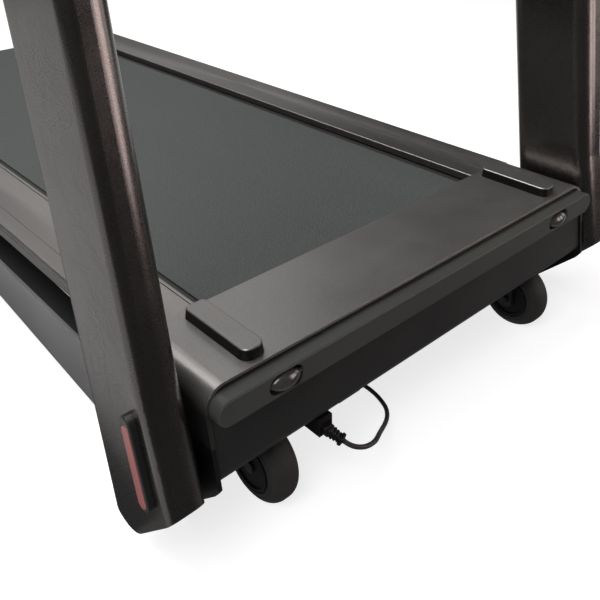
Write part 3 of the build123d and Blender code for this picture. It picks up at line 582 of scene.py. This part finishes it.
def board(name, colour):
    """Laminated deck board with long grain."""
    mat, tree, shader, normal = start_material(name)
    grain = noise(tree, 160.0, 5.0, (1, 0.06, 1))
    link(tree, mixed(tree, grain, tuple(c * 0.7 for c in colour), tuple(c * 1.4 for c in colour)),
         shader.inputs["Base Color"])
    link(tree, spread(tree, grain, 0.5, 0.7), shader.inputs["Roughness"])
    bumped(tree, shader, normal, grain, 0.0001)
    return mat


def glass(name, colour):
    """Dark display window with faint smears."""
    mat, tree, shader, normal = start_material(name, 0.0003)
    tone = spread(tree, noise(tree, 25.0, 4.0), 0.9, 1.1)
    link(tree, shaded(tree, colour, tone), shader.inputs["Base Color"])
    link(tree, spread(tree, noise(tree, 18.0, 6.0, rough=0.7), 0.06, 0.16), shader.inputs["Roughness"])
    shader.inputs["Coat Weight"].default_value = 0.6
    shader.inputs["Coat Roughness"].default_value = 0.05
    bumped(tree, shader, normal, noise(tree, 40.0, 2.0), 0.000004)
    return mat


def make_materials():
    """One finished material for each slot of the record, and one for the hood's pads."""
    made = {}
    plastics = {
        "panel_black": dict(colour=(0.011, 0.0105, 0.010), rough=0.42, grain=0.00004, specular=0.4),
        "bar_plastic": dict(colour=(0.033, 0.033, 0.030), rough=0.5, grain=0.00005, specular=0.35),
        "roller_plastic": dict(colour=(0.030, 0.028, 0.026), rough=0.24, grain=0.00002, coat=0.5),
        "control_plastic": dict(colour=(0.030, 0.030, 0.033), rough=0.5),
        "inlet_plastic": dict(colour=(0.006, 0.005, 0.005), rough=0.5, specular=0.2),
        "hub_plastic": dict(colour=(0.006, 0.005, 0.005), rough=0.5, specular=0.15),
        "cap_plastic": dict(colour=(0.022, 0.022, 0.022), rough=0.45),
        "arm_plastic": dict(colour=(0.026, 0.026, 0.026), rough=0.5, grain=0.00007),
        "bezel_plastic": dict(colour=(0.014, 0.013, 0.013), rough=0.33, grain=0.00002),
        "release_red": dict(colour=(0.235, 0.057, 0.056), rough=0.36, grain=0.00002, coat=0.15),
        "console_plastic": dict(colour=(0.034, 0.034, 0.035), rough=0.48, grain=0.00007),
        "face_plastic": dict(colour=(0.014, 0.014, 0.016), rough=0.28, grain=0.00001, coat=0.3),
        "start_green": dict(colour=(0.020, 0.17, 0.055), rough=0.38, grain=0.00002),
        "key_grey": dict(colour=(0.19, 0.19, 0.19), rough=0.42, grain=0.00002),
        "key_red": dict(colour=(0.40, 0.018, 0.015), rough=0.33, grain=0.00002),
    }
    for slot, values in plastics.items():
        made[slot] = moulded_plastic("m_" + slot, **values)
    hood_tone = (0.228, 0.218, 0.210)
    paints = {
        # Colour darkened on the hood's sides below its top rounding: painted shade.
        "hood_paint": dict(colour=hood_tone, metal=0.88, rough=0.36, wear=0.12,
                           painted_shade=("Z", HOOD_TOP - 0.028, HOOD_TOP - 0.010, 0.3)),
        # Colour darkened on the pads' sides below their tops: painted shade.
        "pad_paint": dict(colour=hood_tone, metal=0.88, rough=0.36, wear=0.05, coat=0.0,
                          painted_shade=("Z", HOOD_TOP + 0.0108, HOOD_TOP + 0.0124, 0.10)),
        "upright_paint": dict(colour=(0.130, 0.119, 0.114), metal=0.98, rough=0.26, coat=0.0, wear=0.15),
        # Colour darkened towards the beams' front ends: painted shade.
        "beam_paint": dict(colour=(0.42, 0.415, 0.42), metal=0.85, rough=0.36, coat=0.0, wear=0.1,
                           painted_shade=("Y", FRONT + 0.10, FRONT + 0.16, 0.06)),
        "frame_black": dict(colour=(0.008, 0.008, 0.009), metal=0.1, rough=0.5, coat=0.0),
        "motor_paint": dict(colour=(0.030, 0.030, 0.034), metal=0.2, rough=0.4),
        "grip_metal": dict(colour=(0.030, 0.030, 0.031), metal=0.2, rough=0.38),
    }
    for slot, values in paints.items():
        made[slot] = metallic_paint("m_" + slot, **values)
    made["belt_rubber"] = running_belt("m_belt_rubber", (0.050, 0.056, 0.052))
    made["tyre_rubber"] = rubber("m_tyre_rubber", (0.012, 0.010, 0.009))
    made["cushion_rubber"] = rubber("m_cushion_rubber", (0.020, 0.020, 0.020))
    made["drive_rubber"] = rubber("m_drive_rubber", (0.016, 0.016, 0.016))
    made["foot_rubber"] = rubber("m_foot_rubber", (0.022, 0.022, 0.022))
    made["cord_rubber"] = rubber("m_cord_rubber", (0.022, 0.020, 0.019), rough=0.42, grain=0.00002)
    made["rail_aluminium"] = brushed_metal("m_rail_aluminium", (0.215, 0.203, 0.196), rough=0.38)
    made["bolt_steel"] = brushed_metal("m_bolt_steel", (0.50, 0.50, 0.51), rough=0.3, stretch=(0.03, 1, 1))
    turned = (1, 0.02, 0.02)
    made["roller_steel"] = brushed_metal("m_roller_steel", (0.46, 0.46, 0.46), rough=0.32, stretch=turned)
    made["rotor_steel"] = brushed_metal("m_rotor_steel", (0.42, 0.42, 0.43), rough=0.35, stretch=turned)
    made["board_wood"] = board("m_board_wood", (0.008, 0.007, 0.006))
    made["display_glass"] = glass("m_display_glass", (0.006, 0.008, 0.009))
    return made


# ---- Detail pieces ------------------------------------------------------------------------

MARKS = {                               # half length, and whether a bar crosses it
    "start_stop_button": (0.0045, False),
    "speed_up_button": (0.0042, True),
    "speed_down_button": (0.0042, False),
}
MARK_HALF_BAR = 0.0011
MARK_RISE = 0.0008
MARK_SINK = 0.0003                      # how far a mark starts inside its button
TYRE_WALL = 0.0198                      # from the tyre's middle to the ridge on its wall
TYRE_LINE_RADIUS = 0.0385
TYRE_LINE_STEPS = 72
TYRE_LINE_SHAPE = ((-0.0007, -0.0006), (-0.0004, 0.0004), (0.0004, 0.0004), (0.0007, -0.0006))


def raised(name, plane, outline, height, node, slot):
    """Thin raised shape on a plane (origin, across, up, out); it moves with a node's body."""
    origin, across, up, out = plane
    rings = []
    for rise, scale in ((0.0, 1.0), (height * 0.7, 1.0), (height, 0.9)):
        rings.append([origin + across * x * scale + up * y * scale + out * rise for x, y in outline])
    obj = ring_mesh(name, rings)
    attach(obj, body_of(NODES[node])[0])
    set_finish(obj, slot)
    return obj


def button_marks():
    """Generic raised marks on the console's buttons: a bar, a plus and a minus."""
    made = []
    bar = MARK_HALF_BAR
    window = NODES["display_window"]
    toward = [f for f in window.data.polygons if (window.matrix_world.to_3x3() @ f.normal).y > 0.5]
    out = (window.matrix_world.to_3x3() @ max(toward, key=lambda f: f.area).normal).normalized()
    slant = Vector((1, 0, 0)).cross(out)
    for node, (reach, cross) in MARKS.items():
        low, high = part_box(node)
        if cross:
            outline = [(reach, -bar), (reach, bar), (bar, bar), (bar, reach), (-bar, reach),
                       (-bar, bar), (-reach, bar), (-reach, -bar), (-bar, -bar), (-bar, -reach),
                       (bar, -reach), (bar, -bar)]
        else:
            outline = [(reach, -bar), (reach, bar), (-reach, bar), (-reach, -bar)]
        points = [NODES[node].matrix_world @ v.co for v in NODES[node].data.vertices]
        middle = (low + high) / 2
        top = max((p - middle).dot(out) for p in points)
        plane = (middle + out * (top - MARK_SINK), Vector((1, 0, 0)), slant, out)
        made.append(raised(node + "_mark", plane, outline, MARK_RISE, node, "key_grey"))
    return made


def tyre_lines(side):
    """Fine moulding ridge round each wall of a tyre."""
    low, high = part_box("tyre_" + side)
    middle = (low + high) / 2
    made = []
    for face, sign in SIDES:
        x = middle.x + sign * TYRE_WALL
        rings = []
        for i in range(TYRE_LINE_STEPS):
            angle = 2 * math.pi * i / TYRE_LINE_STEPS
            out = Vector((0, math.cos(angle), math.sin(angle)))
            base = Vector((x, middle.y, middle.z)) + out * TYRE_LINE_RADIUS
            rings.append([base + out * a + Vector((sign * b, 0, 0)) for a, b in TYRE_LINE_SHAPE])
        obj = ring_mesh(f"tyre_line_{side}_{face}", rings, closed=True)
        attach(obj, body_of(NODES["tyre_" + side])[0])
        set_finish(obj, "tyre_rubber")
        made.append(obj)
    return made


DETAILS = button_marks() + tyre_lines("left") + tyre_lines("right")

MADE = make_materials()
SLOT_OF = {s["node"]: s["material_slot"] for s in frame["record"]["subparts"]}
for node_name, node_object in NODES.items():
    node_object.data.materials.clear()
    node_object.data.materials.append(MADE[SLOT_OF[node_name]])
for side, _ in SIDES:
    NODES["hood_pad_" + side].data.materials[0] = MADE["pad_paint"]
LEAD.data.materials.append(MADE["cord_rubber"])
for piece in [TIE] + CONNECTOR + DETAILS:
    piece.data.materials.append(MADE[piece["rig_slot"]])
